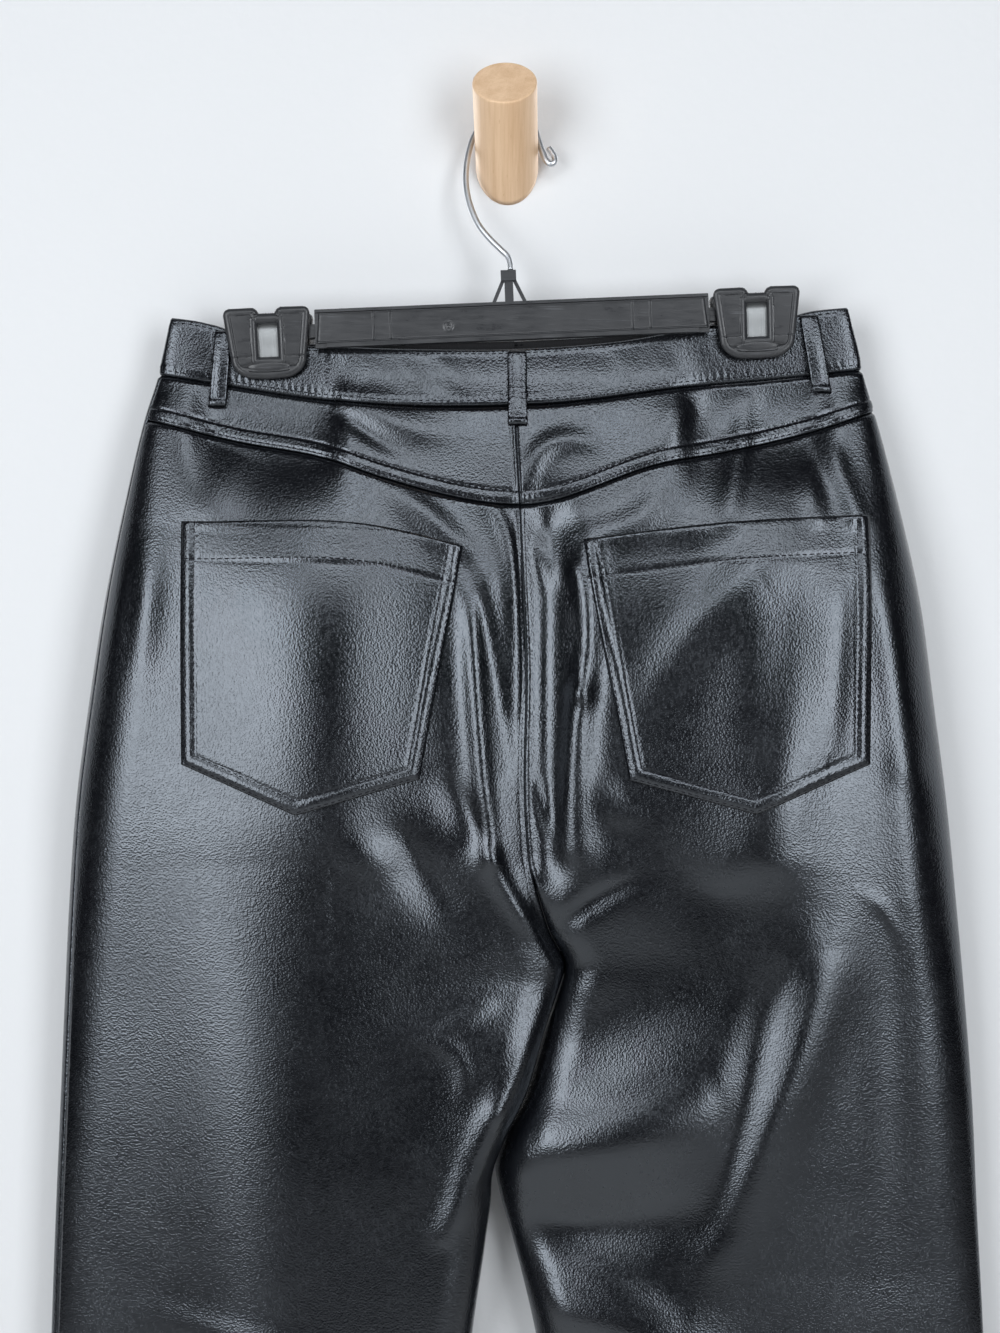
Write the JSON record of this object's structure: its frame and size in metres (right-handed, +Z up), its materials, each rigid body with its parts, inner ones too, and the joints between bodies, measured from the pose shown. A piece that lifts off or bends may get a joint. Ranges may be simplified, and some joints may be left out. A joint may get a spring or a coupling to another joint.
{
  "type": "faux leather trousers on a clip hanger and wall peg",
  "caption": "Black faux leather straight-leg trousers seen from the back, with yoke, patch pockets and belt loops, hung from a black plastic clip hanger on a beech wall peg",
  "frame": {"origin": "centre of the peg's flat back face, on the wall plane", "axes": "+X to the right as seen from in front of the wall, +Y into the wall, +Z up; the back of the trousers faces -Y"},
  "size_m": [0.5098, 0.0544, 1.1969],
  "materials": {
    "black_faux_leather": "satin, fine grain",
    "button_plastic": "gloss",
    "black_plastic": "satin",
    "spring_steel": "satin",
    "zinc_wire": "satin",
    "beech": "fine sanded, matt"
  },
  "bodies": {
    "root": {"back_left": "black_faux_leather", "back_right": "black_faux_leather", "front_left": "black_faux_leather", "front_right": "black_faux_leather", "yoke_left": "black_faux_leather", "yoke_right": "black_faux_leather", "waistband": "black_faux_leather", "pocket_left": "black_faux_leather", "pocket_right": "black_faux_leather", "fly": "black_faux_leather", "loop_back_left": "black_faux_leather", "loop_back_centre": "black_faux_leather", "loop_back_right": "black_faux_leather", "loop_front_left": "black_faux_leather", "loop_front_right": "black_faux_leather", "waist_button": "button_plastic", "hanger_bar": "black_plastic", "clip_left_front": "black_plastic", "clip_left_back": "black_plastic", "clip_right_front": "black_plastic", "clip_right_back": "black_plastic", "clip_left_spring": "spring_steel", "clip_right_spring": "spring_steel", "hanger_hook": "zinc_wire", "wall_peg": "beech"}
  },
  "joints": []
}
